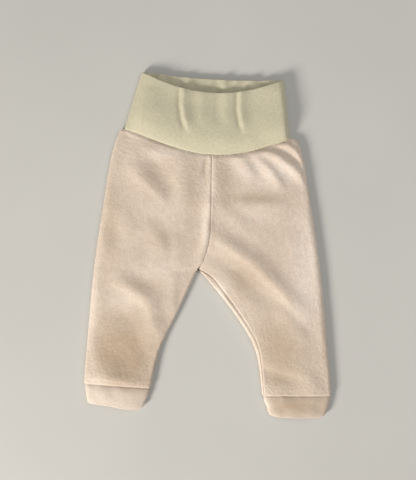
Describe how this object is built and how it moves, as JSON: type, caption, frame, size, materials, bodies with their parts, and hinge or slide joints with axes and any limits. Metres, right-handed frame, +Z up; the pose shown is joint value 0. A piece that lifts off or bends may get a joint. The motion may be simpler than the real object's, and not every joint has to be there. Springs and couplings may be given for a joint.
{
  "type": "baby trousers",
  "caption": "Baby trousers laid flat: fleece legs with a high fold-over jersey waistband and short turned cuffs.",
  "frame": {"origin": "middle of the garment's outline, on the surface that it lies on", "axes": "+X to the right as the front is seen from above, +Y from the hems to the waist, +Z up out of the front cloth"},
  "size_m": [0.2728, 0.3818, 0.012],
  "materials": {
    "fleece": "pale pink brushed fleece with a short mottled pile",
    "jersey": "cream fine-rib cotton jersey, two plies",
    "overlock_thread": "pale overlocked seam allowance"
  },
  "bodies": {
    "garment": {"left_front_leg": "fleece", "left_back_leg": "fleece", "right_front_leg": "fleece", "right_back_leg": "fleece", "waistband_front_lower": "jersey", "waistband_back_lower": "jersey", "left_cuff_seam": "overlock_thread", "right_cuff_seam": "overlock_thread", "left_inseam": "overlock_thread", "right_inseam": "overlock_thread", "left_side_seam": "overlock_thread", "right_side_seam": "overlock_thread", "waistband_left_seam_lower": "overlock_thread", "waistband_right_seam_lower": "overlock_thread", "waist_seam_front": "overlock_thread", "waist_seam_back": "overlock_thread", "front_rise_seam": "overlock_thread", "back_rise_seam": "overlock_thread"},
    "band_top": {"waistband_front_upper": "jersey", "waistband_back_upper": "jersey", "waistband_left_seam_upper": "overlock_thread", "waistband_right_seam_upper": "overlock_thread"},
    "left_turn_up": {"left_cuff": "fleece", "left_cuff_inseam": "overlock_thread"},
    "right_turn_up": {"right_cuff": "fleece", "right_cuff_inseam": "overlock_thread"}
  },
  "joints": [
    {"name": "waistband_fold", "type": "hinge", "parent": "garment", "child": "band_top", "pos_m": [0.001, 0.1498, 0.0115], "axis": [0.9983, -0.0576, 0], "range_deg": [0, 165]},
    {"name": "left_cuff_turn_up", "type": "hinge", "parent": "garment", "child": "left_turn_up", "pos_m": [-0.09955, -0.15537, 0.0125], "axis": [-0.9973, 0.0732, 0], "range_deg": [0, 165]},
    {"name": "right_cuff_turn_up", "type": "hinge", "parent": "garment", "child": "right_turn_up", "pos_m": [0.09845, -0.16637, 0.0125], "axis": [-1, 0, 0], "range_deg": [0, 165]}
  ]
}
